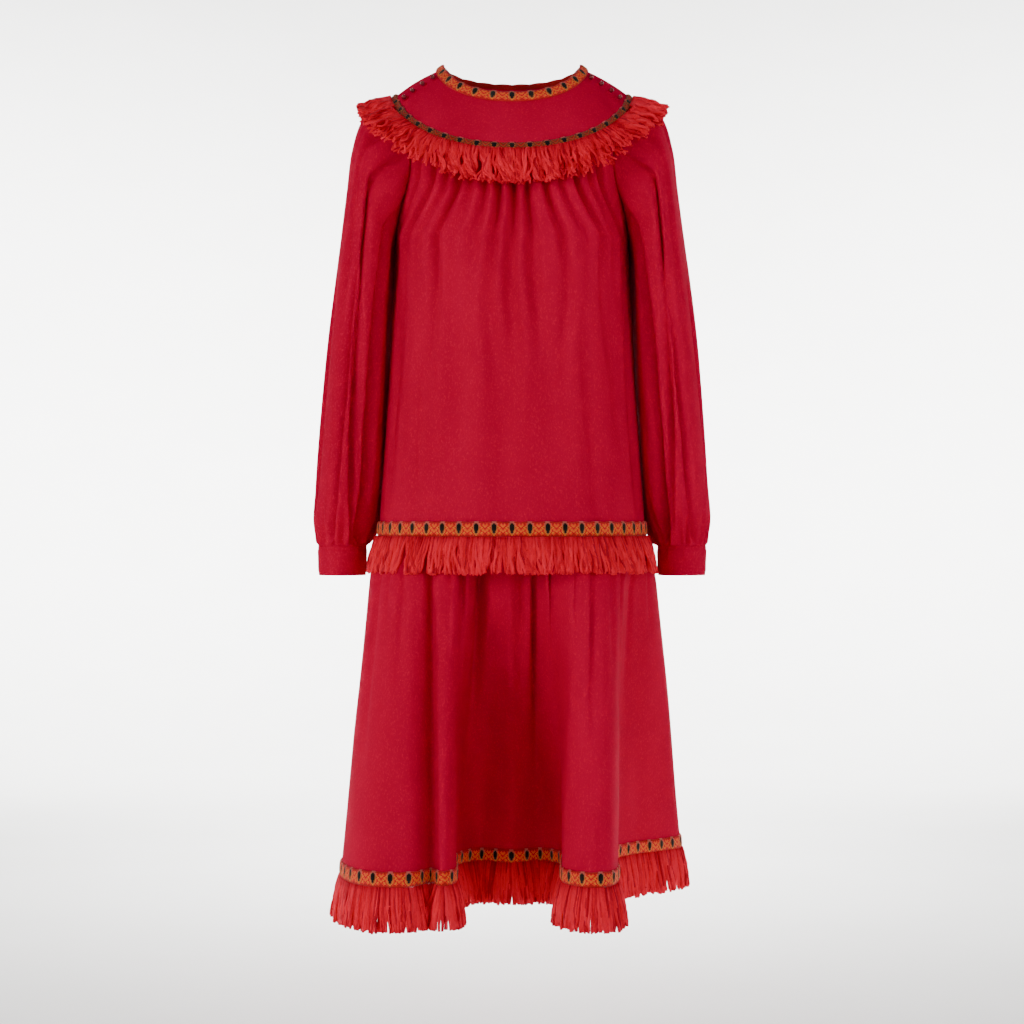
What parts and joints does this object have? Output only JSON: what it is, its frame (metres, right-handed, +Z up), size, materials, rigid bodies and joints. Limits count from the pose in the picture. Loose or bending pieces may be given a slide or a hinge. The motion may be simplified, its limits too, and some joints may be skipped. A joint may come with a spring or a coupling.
{
  "type": "tiered folk-style smock dress",
  "caption": "Long-sleeved smock dress, filled out as worn: round yoke, gathered tunic, bishop sleeves and a gathered lower tier, trimmed with braid and curled fringe.",
  "frame": {"origin": "on the mid-plane between the neck's sides, at the height of the shoulders' highest points, where the wearer's shoulders carry the dress", "axes": "+Z up, the front faces -Y, +X is the wearer's left side"},
  "size_m": [0.5178, 0.4234, 1.0964],
  "materials": {
    "cloth": "matte crimson wool crepe",
    "braid": "knitted patterned braid",
    "fringe": "curled wool-like fringe",
    "button": "glossy dark red"
  },
  "bodies": {
    "root": {"yoke_front": "cloth", "yoke_back": "cloth", "body_front": "cloth", "body_back": "cloth", "sleeve_left": "cloth", "sleeve_right": "cloth", "cuff_left": "cloth", "cuff_right": "cloth", "skirt_front": "cloth", "skirt_back": "cloth", "neck_braid": "braid", "yoke_braid": "braid", "tunic_braid": "braid", "hem_braid": "braid", "yoke_fringe": "fringe", "tunic_fringe": "fringe", "hem_fringe": "fringe", "button_left_1": "button", "button_left_2": "button", "button_left_3": "button", "button_left_4": "button", "button_right_1": "button", "button_right_2": "button", "button_right_3": "button", "button_right_4": "button"}
  },
  "joints": []
}
